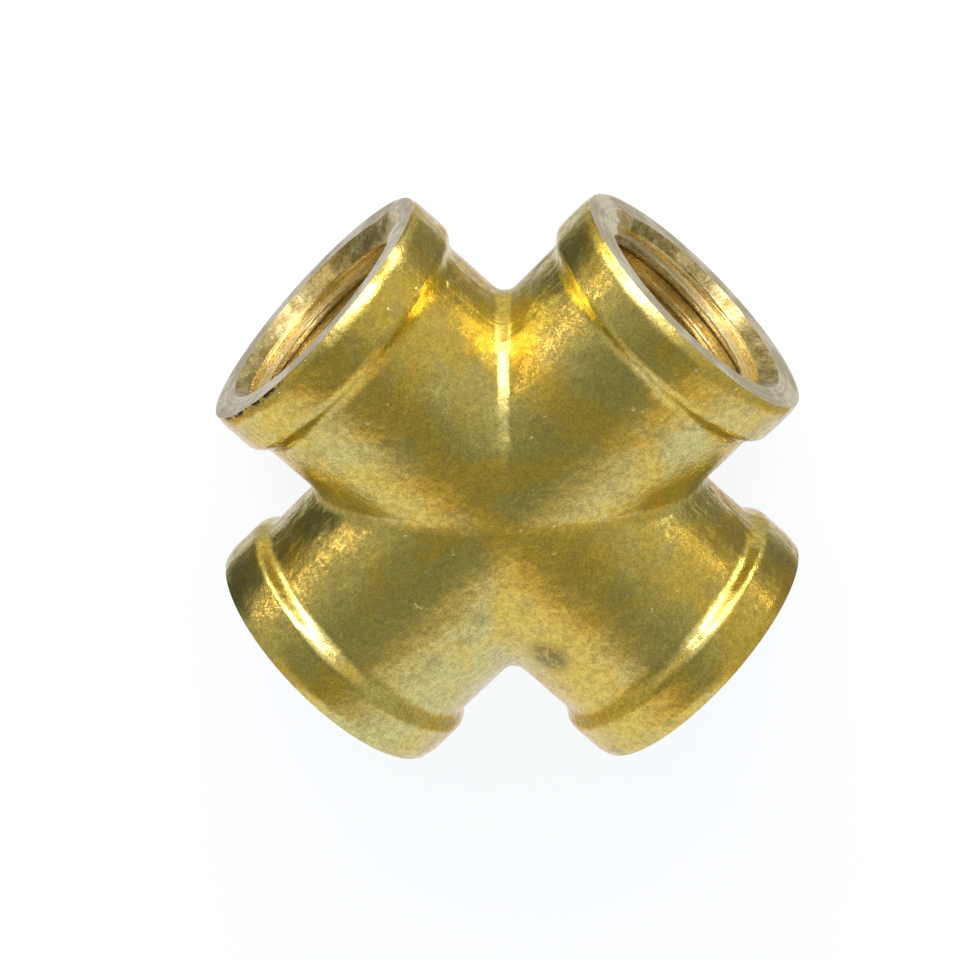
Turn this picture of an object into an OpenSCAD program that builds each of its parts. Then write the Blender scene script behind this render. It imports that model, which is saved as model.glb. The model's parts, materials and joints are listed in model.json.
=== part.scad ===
// Four-way pipe cross: one brass casting with four female threaded ports.
// The cross lies flat. The port axes are X and Y, they meet at the origin, and +Z is normal to their plane.

/* [Arms] */
// Distance from the centre of the cross to each port's end face
centre_to_end = 21.1; // [20:0.1:23]
// Outside diameter of the arms between the hub and the bands
arm_d = 21.4; // [20.8:0.1:22]

/* [End bands] */
// Outside diameter of the raised band at each port
band_d = 23.1; // [22.4:0.1:24]
// Length of the band along its port, without the sloped shoulder
band_w = 3.7; // [3:0.1:5]
// Length of the sloped shoulder between the arm and the band
shoulder_w = 0.9; // [0.3:0.1:1.5]
// Radius that rounds the band's outer edge at the end face
band_edge_r = 0.4; // [0.2:0.1:1.2]

/* [Ports] */
// Diameter of the tapped wall at the thread crests, the tap drill size
tap_drill_d = 14.68; // [14.4:0.02:15]
// Diameter of the countersunk mouth, a little over the thread's outside diameter
mouth_d = 18.3; // [17.2:0.1:19]
// Distance from the end face to the bottom of the tapped hole
tapped_depth = 11.0; // [10:0.1:12]

/* [Waterway] */
// Diameter of the cored waterway behind the threads
waterway_d = 16.6; // [15.6:0.1:17]

/* [Hidden] */

$fn = 128;
port_angles = [0, 90, 180, 270];
brass = [0.71, 0.60, 0.27];

arm_r = arm_d / 2;
band_r = band_d / 2;
tap_r = tap_drill_d / 2;
mouth_r = mouth_d / 2;
waterway_r = waterway_d / 2;

// The countersink is cut at 45 degrees, so that it is as deep as it is wide
countersink = mouth_r - tap_r;
// The arms stop inside the bands, clear of the rounded edges
arm_reach = centre_to_end - band_edge_r;
band_start = centre_to_end - band_w;
tapped_start = centre_to_end - tapped_depth;
// The waterway ends in 45 degree cones that meet the tapped walls
waterway_cone = waterway_r - tap_r;
// How far a cutter runs past the face that it opens
past = 1;

// Turns what lies along Z so that it lies along the port at this angle
module along_port(angle) {
    rotate([0, 90, angle]) children();
}

// Half section of an end band, solid to the axis: radius along X, distance from the centre along Y
module band_section() {
    polygon([
        [0, band_start - shoulder_w],
        [arm_r, band_start - shoulder_w],
        [band_r, band_start],
        [0, band_start]
    ]);
    translate([0, band_start])
        square([band_r, band_w - band_edge_r]);
    translate([0, band_start])
        square([band_r - band_edge_r, band_w]);
    translate([band_r - band_edge_r, centre_to_end - band_edge_r])
        circle(band_edge_r);
}

// One run of the cross: two opposite arms as a single cylinder
module run(angle) {
    along_port(angle)
        cylinder(r = arm_r, h = 2 * arm_reach, center = true);
}

module end_band(angle) {
    along_port(angle)
        rotate_extrude() band_section();
}

// The hole for one port: cone out of the waterway, tapped wall and countersunk mouth
module port_hole(angle) {
    along_port(angle) {
        cylinder(r = tap_r, h = centre_to_end + past);
        translate([0, 0, tapped_start - waterway_cone])
            cylinder(r1 = waterway_r, r2 = tap_r, h = waterway_cone);
        translate([0, 0, centre_to_end - countersink])
            cylinder(r1 = tap_r, r2 = mouth_r + past, h = countersink + past);
    }
}

// The cored passage of one run, between the cones of its two ports
module waterway(angle) {
    along_port(angle)
        cylinder(r = waterway_r, h = 2 * (tapped_start - waterway_cone), center = true);
}

module cross_body() {
    color(brass)
        difference() {
            union() {
                run(0);
                run(90);
                for (angle = port_angles) end_band(angle);
            }
            for (angle = port_angles) port_hole(angle);
            waterway(0);
            waterway(90);
        }
}

cross_body();
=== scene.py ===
"""Looks of a cast brass pipe cross: four arms in one plane, each with an end band and a female taper thread.

The cross lies flat on a pale floor. The mesh is worked out in millimetres and turned into metres at the end.
"""

import json
import math

import bpy
import numpy as np
from mathutils import Matrix, Vector, noise


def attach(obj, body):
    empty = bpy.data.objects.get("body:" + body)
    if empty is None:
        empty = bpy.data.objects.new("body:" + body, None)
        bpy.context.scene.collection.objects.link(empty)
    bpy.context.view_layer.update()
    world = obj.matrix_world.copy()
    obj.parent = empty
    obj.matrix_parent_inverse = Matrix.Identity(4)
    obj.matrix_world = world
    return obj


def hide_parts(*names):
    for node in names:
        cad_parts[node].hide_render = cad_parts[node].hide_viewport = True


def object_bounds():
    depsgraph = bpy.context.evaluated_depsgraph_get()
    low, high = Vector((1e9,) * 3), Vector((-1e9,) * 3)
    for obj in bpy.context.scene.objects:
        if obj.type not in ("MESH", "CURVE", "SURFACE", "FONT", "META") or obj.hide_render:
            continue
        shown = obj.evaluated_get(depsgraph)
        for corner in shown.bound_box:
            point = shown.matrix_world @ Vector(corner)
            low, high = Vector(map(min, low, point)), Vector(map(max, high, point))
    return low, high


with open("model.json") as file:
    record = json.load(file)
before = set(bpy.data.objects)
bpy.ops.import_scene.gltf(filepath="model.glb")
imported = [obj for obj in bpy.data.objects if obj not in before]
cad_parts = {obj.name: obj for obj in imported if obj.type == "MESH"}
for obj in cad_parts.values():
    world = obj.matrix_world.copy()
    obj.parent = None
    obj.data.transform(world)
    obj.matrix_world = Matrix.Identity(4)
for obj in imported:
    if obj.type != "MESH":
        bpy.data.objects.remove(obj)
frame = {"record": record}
cad_low, cad_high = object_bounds()

MM = 0.001

# ---------------------------------------------------------------- sizes, in millimetres

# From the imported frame
CENTRE_TO_END = round(cad_high.x / MM, 2)
BAND_R = round(cad_high.z / MM, 2)
TAP_R = next(m["dims"]["r_mm"] for m in frame["record"]["mounts"] if m["kind"] == "threaded_hole")

# The same values as in the CAD model
ARM_R = 10.7
BAND_W = 3.7
SHOULDER_W = 0.9
MOUTH_R = 9.15
TAPPED_DEPTH = 11.0
WATERWAY_R = 8.3

# Roundings that only the visible model has. The creases between the arms are filled to these widths, first
# where they are shallow, then at the waist.
CREASE_FILL = (1.2, 1.7)
INNER_CREASE_FILL = (0.6, 0.85)
SHOULDER_FILLET = 1.4
SHOULDER_ROUND = 1.1
# How much was filed off the sides along the parting line
FLASH_FLAT = 0.06
# The band falls away towards the end face over this length, more at the top and bottom than at the sides.
# The face is machined through it, which leaves a crisp edge.
BAND_EDGE_W = 1.1
EDGE_DROP_TOP = 0.45
EDGE_DROP_SIDE = 0.16

# American standard taper pipe thread, nominal 3/8 inch, 18 to the inch
PITCH = 25.4 / 18
THREAD_HEIGHT = 0.8 * PITCH
CREST_R_AT_FACE = 7.40
TAPER = 1 / 32
CREST_FLAT = 0.06
ROOT_FLAT = 0.06
# Depth at which the tap starts to run out
RUNOUT_START = 8.6
# Depth of a groove's root below the end face on the far wall of each port, in the order +X, +Y, -X, -Y
THREAD_STARTS = (1.15, 1.55, 0.4, 0.9)
# Where the tap tore the edge of each mouth or left a lip: the angle from the top in degrees, half the width,
# and how far outwards, in the same order. A tear fades over some degrees, and down the countersink.
TORN = (((122, 9, 0.55), (94, 15, -0.7)), ((250, 19, 0.8), (278, 7, -0.35)), (), ())
TORN_FADE = 8
TORN_DEPTH = 1.3

# Places in the frame with a blemish: a stain beside the lower crease, and a knocked band edge at the +Y port
STAIN = (-6.0, -10.2, 8.8)
CHIPPED = (-6.9, CENTRE_TO_END, 9.2)

# How many points go round each arm
AROUND = 160
# Points that round to the same place on a grid are one: its cells to the millimetre
GRID = 1e4
SEED = 7

# ---------------------------------------------------------------- mesh of the casting


def rounded(points, radii, steps):
    """The polyline (s, r) with each inner corner rounded to its radius, in that many steps."""
    out = [points[0]]
    for before, corner, after, radius, n in zip(points, points[1:], points[2:], radii, steps):
        back = (np.array(before) - corner) / np.linalg.norm(np.array(before) - corner)
        ahead = (np.array(after) - corner) / np.linalg.norm(np.array(after) - corner)
        half = math.acos(np.clip(back @ ahead, -1, 1)) / 2
        centre = corner + (back + ahead) / np.linalg.norm(back + ahead) * radius / math.sin(half)
        start = np.array(corner) + back * radius / math.tan(half) - centre
        end = np.array(corner) + ahead * radius / math.tan(half) - centre
        turn = math.atan2(start[0] * end[1] - start[1] * end[0], start @ end)
        for k in range(n + 1):
            a = turn * k / n
            spin = np.array([[math.cos(a), -math.sin(a)], [math.sin(a), math.cos(a)]])
            out.append(tuple(centre + spin @ start))
    out.append(points[-1])
    return out


def filled(points, longest):
    """The polyline with points added so that no step is longer than longest."""
    out = [points[0]]
    for p, q in zip(points, points[1:]):
        n = max(1, math.ceil(math.dist(p, q) / longest))
        out += [(p[0] + (q[0] - p[0]) * k / n, p[1] + (q[1] - p[1]) * k / n) for k in range(1, n + 1)]
    return out


class ArmMesh:
    """One arm along +X as rings of vertices around the axis, joined by quads."""

    def __init__(self):
        self.angles = np.arange(AROUND) * 2 * math.pi / AROUND
        self.points, self.zones, self.casts, self.roots = [], [], [], []
        self.faces, self.materials = [], []

    def point(self, s, r, angle, zone, cast, root=0.0):
        """Adds a vertex at distance s and radius r, and returns its number."""
        self.points.append((s, r * math.cos(angle), r * math.sin(angle)))
        self.zones.append(zone)
        self.casts.append(cast)
        self.roots.append(root)
        return len(self.points) - 1

    def ring(self, s, r, zone, cast):
        """Adds a ring at distance s and radius r, each a value or one per angle, and returns its vertices."""
        s, r = (np.broadcast_to(v, AROUND) for v in (s, r))
        return np.array([self.point(si, ri, a, zone, cast) for a, si, ri in zip(self.angles, s, r)])

    def join(self, ring, following, material):
        for i in range(AROUND):
            j = (i + 1) % AROUND
            self.quad((ring[i], ring[j], following[j], following[i]), material)

    def quad(self, corners, material):
        """A face, unless corners that coincide leave fewer than three."""
        kept = [c for k, c in enumerate(corners) if c != corners[k - 1]]
        if len(kept) > 2:
            self.faces.append(kept)
            self.materials.append(material)


# Zones of the mesh: the outside between the bands, the inside of the waterway, and everything else
HUB, PLAIN, CAVITY = 0, 1, 2
# Material slots
SKIN, FACE, THREAD = 0, 1, 2


def thread_sections():
    """Places within a pitch, from 0 to 1, and how deep into the thread each is: crest, flank, root, flank."""
    flank = (1 - CREST_FLAT - ROOT_FLAT) / 2
    root_start = CREST_FLAT + flank
    return [
        (0.0, 0.0),
        (CREST_FLAT, 0.0),
        (CREST_FLAT + flank * 0.45, 0.45),
        (CREST_FLAT + flank * 0.85, 0.86),
        (root_start, 1.0),
        (root_start + ROOT_FLAT, 1.0),
        (root_start + ROOT_FLAT + flank * 0.15, 0.86),
        (root_start + ROOT_FLAT + flank * 0.55, 0.45),
    ]


def torn_edge(angles, torn):
    """How far the edge of a mouth lies outside its circle at each angle, which is counted from local +Y."""
    from_top = np.degrees(math.pi / 2 - angles) % 360
    shift = np.zeros(len(angles))
    for centre, half, amount in torn:
        away = np.abs((from_top - centre + 180) % 360 - 180)
        shift += amount * np.clip((half - away) / TORN_FADE + 0.5, 0, 1)
    return shift


def thread_radius(depth, into, shift):
    """Radius of the threaded wall at a depth below the end face. Into is 0 at a crest and 1 at a root."""
    runout = np.clip((TAPPED_DEPTH - depth) / (TAPPED_DEPTH - RUNOUT_START), 0, 1)
    radius = CREST_R_AT_FACE - depth * TAPER + THREAD_HEIGHT * into * runout
    countersink = MOUTH_R - depth + shift * np.clip(1 - depth / TORN_DEPTH, 0, 1)
    return np.maximum(np.maximum(radius, TAP_R), countersink)


def add_thread(mesh, mouth, bottom, start, shift):
    """The helical wall from the mouth ring to the bottom ring. Its rows follow the thread."""
    sections = thread_sections()
    n = len(sections)
    root_place = CREST_FLAT + (1 - CREST_FLAT - ROOT_FLAT) / 2 + ROOT_FLAT / 2
    far_wall = 0.75
    turns = math.ceil(TAPPED_DEPTH / PITCH) + 3
    near_end = 0.03
    columns = []
    for i, angle in enumerate(mesh.angles):
        column = []
        for row in range(turns * n):
            place, into = sections[row % n]
            turn = row // n + place - root_place - (angle / (2 * math.pi) - far_wall) - 2
            depth = start + PITCH * turn
            if depth < near_end:
                column.append(mouth[i])
            elif depth > TAPPED_DEPTH - near_end:
                column.append(bottom[i])
            else:
                radius = float(thread_radius(depth, into, shift[i]))
                plain = max(TAP_R, MOUTH_R - depth)
                root = (radius - plain) / THREAD_HEIGHT
                column.append(mesh.point(CENTRE_TO_END - depth, radius, angle, PLAIN, 0.0, root))
        columns.append(column)
    for i in range(AROUND):
        j = (i + 1) % AROUND
        here, there = columns[i], columns[j]
        # where the first column is reached again, the row that meets this one lies a whole turn earlier
        lag = n if j == 0 else 0
        for row in range(turns * n - 1):
            ahead = [there[r - lag] if r >= lag else mouth[j] for r in (row, row + 1)]
            mesh.quad((here[row], ahead[0], ahead[1], here[row + 1]), THREAD)


def arm(start, torn):
    """Everything of the casting that is nearer to +X than to the other ports."""
    mesh = ArmMesh()
    mitre = np.abs(np.cos(mesh.angles))
    hub_end = 14.0
    near_crease = (0, 0.15, 0.3, 0.5, 0.7, 0.9, 1.15, 1.45)
    far_rows = 22

    # outside, from the mitre planes to the end face
    rings = [mesh.ring(ARM_R * mitre + d, ARM_R, HUB, 1.0) for d in near_crease]
    first = ARM_R * mitre + near_crease[-1]
    for k in range(1, far_rows + 1):
        rings.append(mesh.ring(first + (hub_end - first) * k / far_rows, ARM_R, HUB, 1.0))
    band_start = CENTRE_TO_END - BAND_W
    outline = rounded(
        [
            (hub_end, ARM_R),
            (band_start - SHOULDER_W, ARM_R),
            (band_start, BAND_R),
            (CENTRE_TO_END - BAND_EDGE_W, BAND_R),
        ],
        (SHOULDER_FILLET, SHOULDER_ROUND),
        (7, 7),
    )
    longest = 0.4
    for s, r in filled(outline, longest)[1:]:
        rings.append(mesh.ring(s, r, PLAIN, 1.0))
    drop = EDGE_DROP_SIDE + (EDGE_DROP_TOP - EDGE_DROP_SIDE) * np.sin(mesh.angles) ** 2
    edge_rows = 7
    for k in range(1, edge_rows + 1):
        part = k / edge_rows
        cast = 1.0 if k < edge_rows else 0.0
        place = CENTRE_TO_END - BAND_EDGE_W * (1 - part)
        rings.append(mesh.ring(place, BAND_R - drop * part**2, PLAIN, cast))
    for a, b in zip(rings, rings[1:]):
        mesh.join(a, b, SKIN)

    # machined end face
    face = [rings[-1]]
    face_rows = 5
    shift = torn_edge(mesh.angles, torn)
    for k in range(1, face_rows + 1):
        radius = BAND_R - drop + (MOUTH_R + shift - BAND_R + drop) * k / face_rows
        face.append(mesh.ring(CENTRE_TO_END, radius, PLAIN, 0.0))
    for a, b in zip(face, face[1:]):
        mesh.join(a, b, FACE)

    # tapped hole
    bottom = mesh.ring(CENTRE_TO_END - TAPPED_DEPTH, TAP_R, PLAIN, 0.0)
    add_thread(mesh, face[-1], bottom, start, shift)

    # cone and cored waterway, back to the mitre planes
    cone = WATERWAY_R - TAP_R
    inside = [bottom]
    waterway_end = CENTRE_TO_END - TAPPED_DEPTH - cone
    inside.append(mesh.ring(waterway_end, WATERWAY_R, PLAIN, 0.0))
    mesh.join(inside[0], inside[1], THREAD)
    inner = WATERWAY_R * mitre
    rows = 9
    for k in range(1, rows + 1):
        inside.append(mesh.ring(waterway_end + (inner - waterway_end) * k / rows, WATERWAY_R, CAVITY, 1.0))
    for a, b in zip(inside[1:], inside[2:]):
        mesh.join(a, b, SKIN)
    return mesh


def union_field(points, radius, fill):
    """Signed distance to two crossing cylinders on X and Y, with the crease between them filled by an arc."""
    x, y, z = points.T
    rho_x = np.hypot(y, z)
    rho_y = np.hypot(x, z)
    a, b = rho_x - radius, rho_y - radius
    normals_dot = z * z / np.maximum(rho_x * rho_y, 1e-9)
    opening = 1 - normals_dot
    r = np.sqrt(opening / 2) * (fill[0] + (fill[1] - fill[0]) * opening**2)
    corner = np.hypot(np.maximum(r - a, 0), np.maximum(r - b, 0))
    return np.maximum(r, np.minimum(a, b)) - corner


def onto_union(points, radius, fill):
    """Moves points onto the blended surface by Newton steps along its gradient."""
    step = 1e-4
    rounds = 8
    flattest = 0.2
    for _ in range(rounds):
        value = union_field(points, radius, fill)
        slope = np.stack(
            [
                (union_field(points + d, radius, fill) - union_field(points - d, radius, fill)) / (2 * step)
                for d in np.eye(3) * step
            ],
            axis=1,
        )
        points = points - slope * (value / np.maximum((slope**2).sum(1), flattest))[:, None]
    return points


def four_arms():
    """The whole casting: the arm turned to each port, with the rings on the mitre planes shared."""
    points, zones, casts, roots, faces, materials = [], [], [], [], [], []
    count = 0
    for turn, (start, torn) in enumerate(zip(THREAD_STARTS, TORN)):
        mesh = arm(start, torn)
        p = np.array(mesh.points)
        for _ in range(turn):
            p = np.stack([-p[:, 1], p[:, 0], p[:, 2]], axis=1)
        points.append(p)
        zones += mesh.zones
        casts += mesh.casts
        roots += mesh.roots
        faces += [[v + count for v in f] for f in mesh.faces]
        materials += mesh.materials
        count += len(p)
    points = np.concatenate(points)
    zones, casts, roots = np.array(zones), np.array(casts), np.array(roots)
    places = np.round(points * GRID).astype(np.int64)
    _, kept, merged = np.unique(places, axis=0, return_index=True, return_inverse=True)
    merged = merged.ravel()
    points, zones, casts, roots = points[kept], zones[kept], casts[kept], roots[kept]
    faces = [[merged[v] for v in f] for f in faces]
    hub = zones == HUB
    flat_points = points[hub]
    points[hub] = onto_union(flat_points, ARM_R, CREASE_FILL)
    # what the fill moved by this much or more counts as crease
    moved = 0.08
    crease = np.zeros(len(points))
    crease[hub] = np.clip(np.linalg.norm(points[hub] - flat_points, axis=1) / moved, 0, 1)
    cavity = zones == CAVITY
    points[cavity] = onto_union(points[cavity], WATERWAY_R, INNER_CREASE_FILL)
    file_sides(points, casts)
    return points, casts, roots, crease, faces, materials


def file_sides(points, casts):
    """Flattens the sides of the arms a little along the parting line, beyond the creases, in place."""
    beyond = np.clip(np.abs(points[:, :2]).max(1) - ARM_R - CREASE_FILL[1], 0, 1)
    side = np.abs(points[:, 0]) > np.abs(points[:, 1])
    for along, across in ((0, 1), (1, 0)):
        radius = np.hypot(points[:, across], points[:, 2])
        outside = radius > (WATERWAY_R + ARM_R) / 2
        here = (casts > 0.5) & (side == (along == 0)) & outside
        reach = radius - FLASH_FLAT * beyond
        points[here, across] = np.clip(points[here, across], -reach[here], reach[here])


def casting_height(p):
    """Unevenness of the cast skin at a point, in millimetres."""
    v = Vector(p)
    broad = noise.noise(v * 0.16 + Vector((3.1, 7.7, 1.9)))
    middle = noise.noise(v * 0.45 + Vector((9.2, 2.6, 5.3)))
    fine = noise.noise(v * 1.1 + Vector((1.4, 8.8, 6.1)))
    return 0.045 * broad + 0.022 * middle + 0.008 * fine - 0.03


def dents(points, rng, chosen):
    """Shallow round knocks at random places on the skin, as a height for each point."""
    knocks = 46
    height = np.zeros(len(points))
    for _ in range(knocks):
        centre = points[rng.choice(chosen)]
        width = rng.uniform(0.5, 1.3)
        depth = rng.uniform(0.012, 0.04)
        away = np.linalg.norm(points - centre, axis=1) / width
        height -= depth * np.exp(-(away**2) * 2)
    return height


def make_cross():
    points, casts, roots, crease, faces, materials = four_arms()
    data = bpy.data.meshes.new("cross_casting")
    data.from_pydata([tuple(p) for p in points], [], faces)
    data.polygons.foreach_set("material_index", materials)
    data.update()
    # every quad of an arm is wound the same way: turn them all if the volume comes out negative
    corners = np.array([points[f[:3]] for f in faces])
    if np.einsum("ij,ij->i", corners[:, 0], np.cross(corners[:, 1], corners[:, 2])).sum() < 0:
        data.flip_normals()
        data.update()

    normals = np.zeros(len(points) * 3)
    data.vertex_normals.foreach_get("vector", normals)
    normals = normals.reshape(-1, 3)
    rng = np.random.default_rng(SEED)
    skin = np.flatnonzero(casts > 0.5)
    height = np.zeros(len(points))
    height[skin] = [casting_height(points[k]) for k in skin]
    height += dents(points, rng, skin) * casts
    points = points + normals * (height * casts)[:, None]
    data.vertices.foreach_set("co", (points * MM).ravel())

    for name, values in (("thread_root", roots), ("crease", crease)):
        attribute = data.attributes.new(name, "FLOAT", "POINT")
        attribute.data.foreach_set("value", values.astype(np.float32))
    data.polygons.foreach_set("use_smooth", [True] * len(data.polygons))
    data.update()
    data.set_sharp_from_angle(angle=math.radians(28))
    cross = bpy.data.objects.new("cross_casting", data)
    bpy.context.scene.collection.objects.link(cross)
    return cross


# ---------------------------------------------------------------- materials


class Nodes:
    """A short way to write a node tree: each call adds a node, sets its inputs and returns an output."""

    def __init__(self, name):
        self.material = bpy.data.materials.new(name)
        self.material.use_nodes = True
        self.tree = self.material.node_tree
        self.tree.nodes.clear()

    def add(self, kind, inputs=None, output=0, **settings):
        node = self.tree.nodes.new(kind)
        for key, value in settings.items():
            setattr(node, key, value)
        for key, value in (inputs or {}).items():
            if isinstance(value, bpy.types.NodeSocket):
                self.tree.links.new(value, node.inputs[key])
            else:
                node.inputs[key].default_value = value
        return node.outputs[output]

    def maths(self, operation, *values):
        return self.add("ShaderNodeMath", dict(enumerate(values)), operation=operation)

    def vector(self, operation, *values, output=0, **named):
        inputs = {**dict(enumerate(values)), **named}
        return self.add("ShaderNodeVectorMath", inputs, output=output, operation=operation)

    def noise(self, where, scale, detail=3.0, roughness=0.55, distortion=0.0):
        inputs = {"Vector": where, "Scale": scale, "Detail": detail, "Roughness": roughness}
        return self.add("ShaderNodeTexNoise", {**inputs, "Distortion": distortion})

    def noise_colour(self, where, scale):
        """Three unrelated noises at once, as a vector."""
        return self.add("ShaderNodeTexNoise", {"Vector": where, "Scale": scale, "Detail": 1.0}, output=1)

    def near(self, where, centre, inner, outer):
        """One within the inner distance of a place, fading to nothing at the outer distance."""
        away = self.vector("DISTANCE", where, centre, output=1)
        return self.remap(away, inner, outer, 1.0, 0.0)

    def remap(self, value, low, high, to_low=0.0, to_high=1.0):
        inputs = {"Value": value, "From Min": low, "From Max": high, "To Min": to_low, "To Max": to_high}
        return self.add("ShaderNodeMapRange", inputs, interpolation_type="SMOOTHSTEP")

    def blend(self, amount, a, b, kind="MIX"):
        node = self.tree.nodes.new("ShaderNodeMix")
        node.data_type = "RGBA"
        node.blend_type = kind
        for socket, value in ((node.inputs[0], amount), (node.inputs[6], a), (node.inputs[7], b)):
            if isinstance(value, bpy.types.NodeSocket):
                self.tree.links.new(value, socket)
            else:
                socket.default_value = value
        return node.outputs[2]

    def grey(self, value):
        return self.add("ShaderNodeCombineColor", {0: value, 1: value, 2: value})

    def split(self, vector):
        """The three components of a vector."""
        node = self.tree.nodes.new("ShaderNodeSeparateXYZ")
        self.tree.links.new(vector, node.inputs[0])
        return node.outputs

    def cells(self, where, scale):
        """Distance to the nearest of many scattered points, and a random value for each of them."""
        node = self.tree.nodes.new("ShaderNodeTexVoronoi")
        self.tree.links.new(where, node.inputs["Vector"])
        node.inputs["Scale"].default_value = scale
        return node.outputs["Distance"], self.split(node.outputs["Color"])[0]

    def bump(self, height, distance_mm, below=None):
        """The normal below, or the surface's own, tilted by a height. A height of 1 is the distance given."""
        inputs = {"Height": height, "Distance": distance_mm * MM, "Strength": 1.0}
        if below:
            inputs["Normal"] = below
        return self.add("ShaderNodeBump", inputs)

    def finish(self, colour, roughness, normal):
        """The metal shader and the material's output."""
        shader = self.tree.nodes.new("ShaderNodeBsdfPrincipled")
        shader.inputs["Metallic"].default_value = 1.0
        for key, value in (("Base Color", colour), ("Roughness", roughness), ("Normal", normal)):
            self.tree.links.new(value, shader.inputs[key])
        out = self.tree.nodes.new("ShaderNodeOutputMaterial")
        self.tree.links.new(shader.outputs[0], out.inputs[0])
        return self.material

    def place_mm(self):
        """Position in the object's own frame, in millimetres."""
        where = self.add("ShaderNodeTexCoord", output=3)
        return self.vector("SCALE", where, Scale=1 / MM)


def rgb(r, g, b):
    return (r, g, b, 1.0)


def port_place(n, p):
    """Distance from the axis of the port that a point belongs to, and its distance below the end face."""
    x, y, z = n.split(p)
    length_x, length_y = n.maths("ABSOLUTE", x), n.maths("ABSOLUTE", y)
    on_x = n.maths("GREATER_THAN", length_x, length_y)
    across = n.add("ShaderNodeMix", {0: on_x, 2: x, 3: y})
    squares = n.maths("ADD", n.maths("MULTIPLY", across, across), n.maths("MULTIPLY", z, z))
    depth = n.maths("SUBTRACT", CENTRE_TO_END, n.maths("MAXIMUM", length_x, length_y))
    return n.maths("SQRT", squares), depth


def cast_skin():
    n = Nodes("cast_brass_skin")
    p = n.place_mm()
    _, depth = port_place(n, p)
    x, y, z = n.split(p)
    patches = n.noise(p, 0.13, 4.0, 0.55, 0.5)
    clouds = n.noise(p, 0.42, 5.0, 0.62)
    grain = n.noise(p, 1.9, 5.0, 0.68)
    speckle = n.noise(p, 6.0, 2.0, 0.7)

    # the run along X is a little greener than the one along Y
    length_x, length_y = n.maths("ABSOLUTE", x), n.maths("ABSOLUTE", y)
    on_x = n.remap(n.maths("SUBTRACT", length_x, length_y), -5.0, 5.0, -0.07, 0.07)
    green = n.remap(n.maths("ADD", patches, on_x), 0.40, 0.60)
    base = n.blend(green, rgb(0.82, 0.635, 0.115), rgb(0.71, 0.65, 0.205))
    tarnish = n.remap(clouds, 0.48, 0.70)
    base = n.blend(n.maths("MULTIPLY", tarnish, 0.55), base, rgb(0.46, 0.41, 0.145))
    coarse_shade = n.remap(grain, 0.30, 0.68, 0.76, 1.10)
    fine_shade = n.remap(speckle, 0.32, 0.68, 0.82, 1.13)
    base = n.blend(1.0, base, n.grey(n.maths("MULTIPLY", coarse_shade, fine_shade)), "MULTIPLY")

    # small pale specks and scratches, in some of the cells of grids of scattered points: real dents and worn
    # metal, whose pale colour is partly a painted glint
    specks, here = n.cells(p, 0.55)
    speck = n.maths("MULTIPLY", n.remap(specks, 0.05, 0.10, 1.0, 0.0), n.maths("GREATER_THAN", here, 0.5))
    bent = n.vector("ADD", p, n.vector("SCALE", n.noise_colour(p, 0.35), Scale=9.0))
    leaning = n.vector("MULTIPLY", bent, (0.25, 1.0, 0.5))
    dashes, there = n.cells(leaning, 1.1)
    dash = n.maths("MULTIPLY", n.remap(dashes, 0.05, 0.12, 1.0, 0.0), n.maths("GREATER_THAN", there, 0.72))
    scratches_and_glints = n.maths("MAXIMUM", speck, dash)
    # painted glint: the specks and scratches are coloured paler than the brass round them
    base = n.blend(n.maths("MULTIPLY", scratches_and_glints, 0.45), base, rgb(0.95, 0.92, 0.60))

    # the stain by the lower crease, and the edge of one band where it was knocked
    stain = n.maths("MULTIPLY", n.near(p, STAIN, 0.8, 2.4), n.remap(grain, 0.36, 0.56))
    base = n.blend(n.maths("MULTIPLY", stain, 0.75), base, rgb(0.16, 0.11, 0.03))
    edge = n.maths("MULTIPLY", n.remap(depth, 0.12, 0.42, 1.0, 0.0), n.near(p, CHIPPED, 3.2, 5.4))
    chips = n.maths("MULTIPLY", edge, n.remap(n.noise(p, 1.6, 3.0), 0.36, 0.50))
    base = n.blend(chips, base, rgb(0.05, 0.035, 0.02))

    crease = n.add("ShaderNodeAttribute", output=2, attribute_name="crease")
    roughness = n.remap(patches, 0.35, 0.65, 0.22, 0.17)
    roughness = n.maths("ADD", roughness, n.maths("MULTIPLY", tarnish, 0.10))
    roughness = n.maths("ADD", roughness, n.remap(grain, 0.32, 0.66, 0.08, -0.03))
    roughness = n.maths("ADD", roughness, n.maths("MULTIPLY", crease, 0.06))

    # marks of the file that took the flash off the parting line, along the arms and round the waist
    reach = n.remap(n.maths("ABSOLUTE", z), 3.5, 6.5, 1.0, 0.0)
    waist = n.remap(n.maths("MAXIMUM", length_x, length_y), 15.5, 18.0, 1.0, 0.0)
    patchy = n.remap(n.noise(p, 0.25, 2.0), 0.40, 0.56, 0.15, 1.0)
    marks = n.noise(n.vector("MULTIPLY", p, (0.10, 0.10, 2.0)), 1.0, 3.0, 0.6)
    filed = n.maths("MULTIPLY", n.maths("MULTIPLY", reach, waist), patchy)

    waves = n.noise(p, 0.5, 2.0, 0.5)
    normal = n.bump(waves, 0.11)
    normal = n.bump(n.maths("MULTIPLY", marks, filed), 0.16, below=normal)
    normal = n.bump(grain, 0.030, below=normal)
    normal = n.bump(speckle, 0.007, below=normal)
    normal = n.bump(scratches_and_glints, 0.02, below=normal)
    normal = n.bump(n.maths("SUBTRACT", 1.0, chips), 0.05, below=normal)
    return n.finish(base, roughness, normal)


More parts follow.
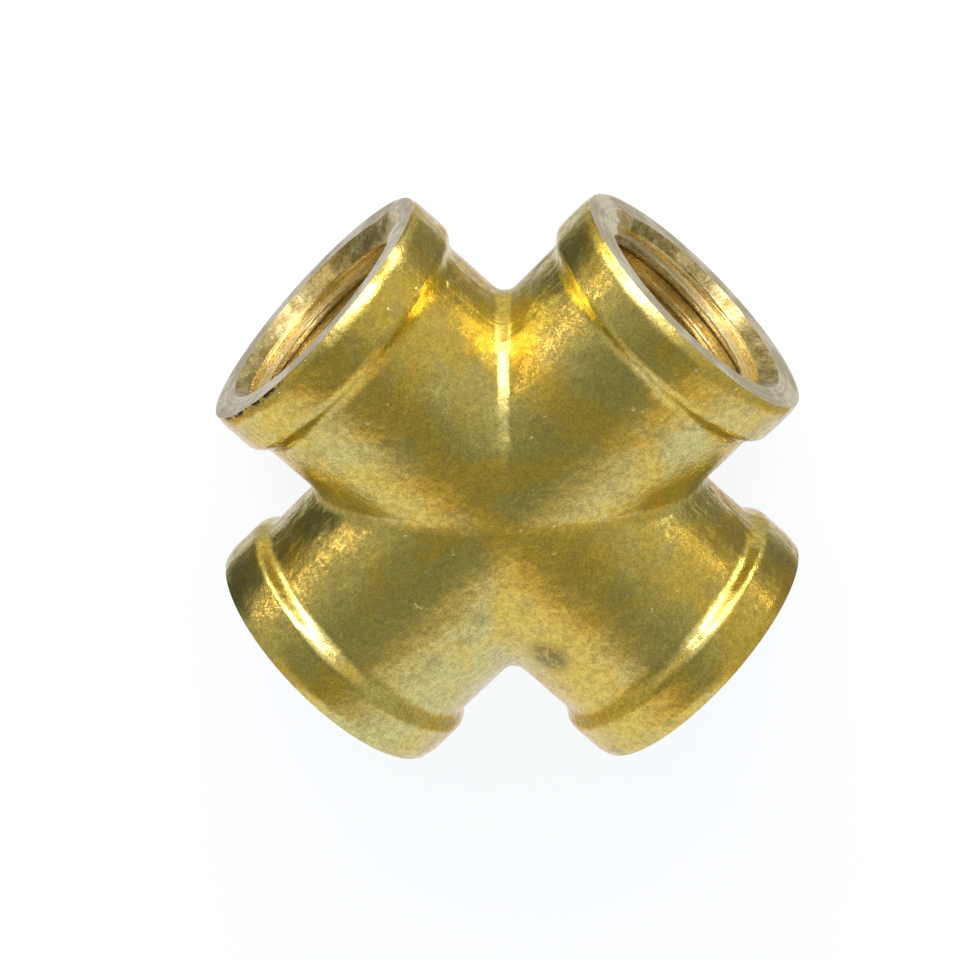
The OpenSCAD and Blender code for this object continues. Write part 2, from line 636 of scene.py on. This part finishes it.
def machined_face():
    n = Nodes("machined_brass_face")
    p = n.place_mm()
    radius, _ = port_place(n, p)
    wobble = n.noise(p, 0.5, 2.0)
    turned = n.maths("ADD", n.maths("MULTIPLY", radius, 2.6), n.maths("MULTIPLY", wobble, 0.9))
    inputs = {"W": turned, "Scale": 1.0, "Detail": 4.0, "Roughness": 0.7}
    lines = n.add("ShaderNodeTexNoise", inputs, noise_dimensions="1D")
    smudge = n.noise(p, 0.26, 4.0, 0.62)
    colour = n.blend(n.remap(smudge, 0.40, 0.60), rgb(0.70, 0.68, 0.48), rgb(0.99, 0.99, 0.74))
    colour = n.blend(1.0, colour, n.grey(n.remap(lines, 0.3, 0.7, 0.84, 1.08)), "MULTIPLY")
    roughness = n.remap(smudge, 0.3, 0.7, 0.48, 0.36)
    normal = n.bump(lines, 0.035)
    normal = n.bump(n.noise(p, 1.3, 5.0, 0.65), 0.045, below=normal)
    return n.finish(colour, roughness, normal)


def thread_cut():
    n = Nodes("cut_brass_thread")
    p = n.place_mm()
    root = n.add("ShaderNodeAttribute", output=2, attribute_name="thread_root")
    radius, depth = port_place(n, p)
    smudge = n.noise(p, 0.8, 4.0, 0.6)
    speckle = n.noise(p, 5.0, 3.0, 0.7)
    cut_and_root_shade = n.blend(n.remap(smudge, 0.35, 0.7), rgb(0.88, 0.75, 0.37), rgb(0.95, 0.86, 0.54))
    # painted shade: the colour darkens towards dark brown in the roots of the thread
    cut_and_root_shade = n.blend(n.remap(root, 0.86, 1.0, 0.0, 0.85), cut_and_root_shade, rgb(0.16, 0.10, 0.03))
    # the countersink is rougher than the threads, and painted darker as painted shade in the recess. Its
    # radius and depth add up to the mouth's radius.
    shaded_countersink = n.blend(n.remap(smudge, 0.35, 0.65), rgb(0.31, 0.245, 0.09), rgb(0.58, 0.53, 0.26))
    shaded_countersink = n.blend(1.0, shaded_countersink, n.grey(n.remap(speckle, 0.35, 0.65, 0.72, 1.30)), "MULTIPLY")
    threads = n.remap(n.maths("ADD", radius, depth), MOUTH_R + 0.03, MOUTH_R + 0.10)
    colour = n.blend(threads, shaded_countersink, cut_and_root_shade)
    roughness = n.maths("SUBTRACT", n.remap(smudge, 0.3, 0.7, 0.36, 0.28), n.maths("MULTIPLY", threads, 0.06))
    # the tap's teeth leave fine lines along the thread
    torn = n.maths("SINE", n.maths("ADD", n.maths("MULTIPLY", root, 26.0), n.maths("MULTIPLY", smudge, 6.0)))
    normal = n.bump(torn, 0.010)
    normal = n.bump(n.noise(p, 2.2, 4.0, 0.6), 0.03, below=normal)
    normal = n.bump(speckle, 0.014, below=normal)
    return n.finish(colour, roughness, normal)


# ---------------------------------------------------------------- camera, floor and light

# Distance of the lamps from the cross, in metres
LAMP_DISTANCE = 0.30

# From the frame's axes to the view: the two ports that face up lie at 45 degrees either side of up
LEAN = math.radians(22.96)
SWING = math.radians(-2.25)
ROLL = math.radians(1.89)
DISTANCE = 14.73
OFFSET = (0.1102, 0.0014)
FOCAL_OVER_WIDTH = 4.0695
SENSOR = 36.0


def view_rotation():
    """Rotation from the frame to the camera's axes: right, up and back."""
    return (
        Matrix.Rotation(ROLL, 3, "Z")
        @ Matrix.Rotation(LEAN, 3, "X")
        @ Matrix.Rotation(SWING, 3, "Y")
        @ Matrix.Rotation(math.pi / 4, 3, "Z")
    )


def view_direction(right, up, back):
    """A direction given in the camera's axes, in the frame."""
    return view_rotation().transposed() @ Vector((right, up, back))


def make_camera():
    size = CENTRE_TO_END * MM
    turned = view_rotation().transposed()
    place = turned @ Vector((-OFFSET[0], -OFFSET[1], DISTANCE)) * size
    data = bpy.data.cameras.new("camera")
    data.sensor_width = SENSOR
    data.lens = FOCAL_OVER_WIDTH * SENSOR
    data.clip_start = 0.01
    data.clip_end = 10
    camera = bpy.data.objects.new("camera", data)
    camera.matrix_world = Matrix.Translation(place) @ turned.to_4x4()
    bpy.context.scene.collection.objects.link(camera)
    bpy.context.scene.camera = camera


def stage_mesh(name, points, faces):
    """A white surface that is not part of the object. The brass mirrors the world instead of it."""
    data = bpy.data.meshes.new(name)
    data.from_pydata(points, [], faces)
    surface = bpy.data.objects.new(name, data)
    bpy.context.scene.collection.objects.link(surface)
    material = bpy.data.materials.new(name)
    material.use_nodes = True
    shader = material.node_tree.nodes["Principled BSDF"]
    shader.inputs["Base Color"].default_value = rgb(0.20, 0.20, 0.20)
    shader.inputs["Roughness"].default_value = 0.9
    shader.inputs["Specular IOR Level"].default_value = 0.0
    shader.inputs["Emission Color"].default_value = rgb(0.937, 0.970, 1.0)
    shader.inputs["Emission Strength"].default_value = 0.895
    data.materials.append(material)
    surface.visible_glossy = False
    return surface


def make_stage():
    """A round floor that the cross lies on, and a wall far behind it all round."""
    sides = 96
    reach = 1.6
    low, high = cad_low.z, 1.2
    turn = [2 * math.pi * k / sides for k in range(sides)]
    foot = [(reach * math.cos(a), reach * math.sin(a), low) for a in turn]
    top = [(x, y, high) for x, y, _ in foot]
    stage_mesh("floor", foot, [tuple(range(sides))])
    wall = [(k, (k + 1) % sides, (k + 1) % sides + sides, k + sides) for k in range(sides)]
    backdrop = stage_mesh("backdrop", foot + top, wall)
    backdrop.visible_diffuse = False
    backdrop.visible_shadow = False


def area_light(name, direction, width, height, radiance, colour):
    """A rectangular light that faces the cross from a direction in the camera's axes."""
    data = bpy.data.lights.new(name, "AREA")
    data.shape = "RECTANGLE"
    data.size, data.size_y = width, height
    data.energy = radiance * math.pi * width * height
    data.color = colour
    light = bpy.data.objects.new(name, data)
    direction = view_direction(*direction).normalized()
    light.location = direction * LAMP_DISTANCE
    light.rotation_euler = direction.to_track_quat("Z", "Y").to_euler()
    light.visible_camera = False
    bpy.context.scene.collection.objects.link(light)


# What the brass mirrors, as soft round patches laid one over the other. Each has a direction in the camera's
# axes, the angles in degrees at which it starts and stops fading, and its light.
ROOM = (0.52, 0.47, 0.38)
PATCHES = (
    ("ceiling", (0, 1, 0.1), 20, 55, (0.75, 0.68, 0.56)),
    ("dark_left", (-0.84, 0.40, -0.37), 14, 34, (0.10, 0.10, 0.09)),
    ("dark_right", (0.84, 0.40, -0.37), 14, 34, (0.26, 0.23, 0.20)),
    ("left_card", (-0.88, 0.34, 0.33), 6, 20, (0.66, 0.55, 0.38)),
    ("right_card", (0.78, 0.30, 0.55), 8, 26, (0.60, 0.55, 0.50)),
    ("photographer", (-0.2, -0.3, 0.93), 20, 50, (0.27, 0.26, 0.20)),
    ("over_the_camera", (0, 0.42, 0.91), 10, 40, (1.05, 0.98, 1.05)),
    ("table_edge", (0, -0.93, -0.37), 53, 61, (0.66, 0.46, 0.24)),
    ("table", (0, -0.93, -0.37), 42, 53, (0.84, 0.82, 1.03)),
    ("backdrop", (0, 0, -1), 27, 34, (0.95, 0.89, 1.06)),
)


def make_world():
    world = bpy.data.worlds.new("studio")
    world.use_nodes = True
    tree = world.node_tree
    where = tree.nodes.new("ShaderNodeTexCoord").outputs["Generated"]
    light = None
    for _, direction, inner, outer, colour in PATCHES:
        towards = tree.nodes.new("ShaderNodeVectorMath")
        towards.operation = "DOT_PRODUCT"
        tree.links.new(where, towards.inputs[0])
        towards.inputs[1].default_value = view_direction(*direction).normalized()
        fade = tree.nodes.new("ShaderNodeMapRange")
        fade.interpolation_type = "SMOOTHSTEP"
        tree.links.new(towards.outputs["Value"], fade.inputs["Value"])
        fade.inputs["From Min"].default_value = math.cos(math.radians(outer))
        fade.inputs["From Max"].default_value = math.cos(math.radians(inner))
        mix = tree.nodes.new("ShaderNodeMix")
        mix.data_type = "RGBA"
        tree.links.new(fade.outputs[0], mix.inputs[0])
        if light is None:
            mix.inputs[6].default_value = rgb(*ROOM)
        else:
            tree.links.new(light, mix.inputs[6])
        mix.inputs[7].default_value = rgb(*colour)
        light = mix.outputs[2]
    tree.links.new(light, tree.nodes["Background"].inputs["Color"])
    tree.nodes["Background"].inputs["Strength"].default_value = 1.0
    bpy.context.scene.world = world


def make_lights():
    """A long lamp above and in front, two that reach the ports facing up, and two points at the sides."""
    area_light("overhead", (-0.05, 0.57, 0.79), 0.27, 0.065, 16, (0.74, 0.65, 0.76))
    area_light("into_left_port", (-0.54, 0.75, 0.38), 0.06, 0.05, 12, (1.0, 0.88, 0.90))
    area_light("into_right_port", (0.46, 0.79, 0.36), 0.07, 0.06, 12, (1.0, 0.88, 0.90))
    area_light("left_point", (-0.87, 0.33, 0.36), 0.014, 0.014, 34, (1.0, 0.70, 0.50))
    area_light("right_point", (0.79, 0.26, 0.27), 0.012, 0.012, 24, (1.0, 0.78, 0.55))


# ---------------------------------------------------------------- the scene

cross = make_cross()
for material in (cast_skin(), machined_face(), thread_cut()):
    cross.data.materials.append(material)
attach(cross, "root")
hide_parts("cross_body")

make_camera()
make_stage()
make_world()
make_lights()
bpy.context.scene.view_settings.view_transform = "Standard"
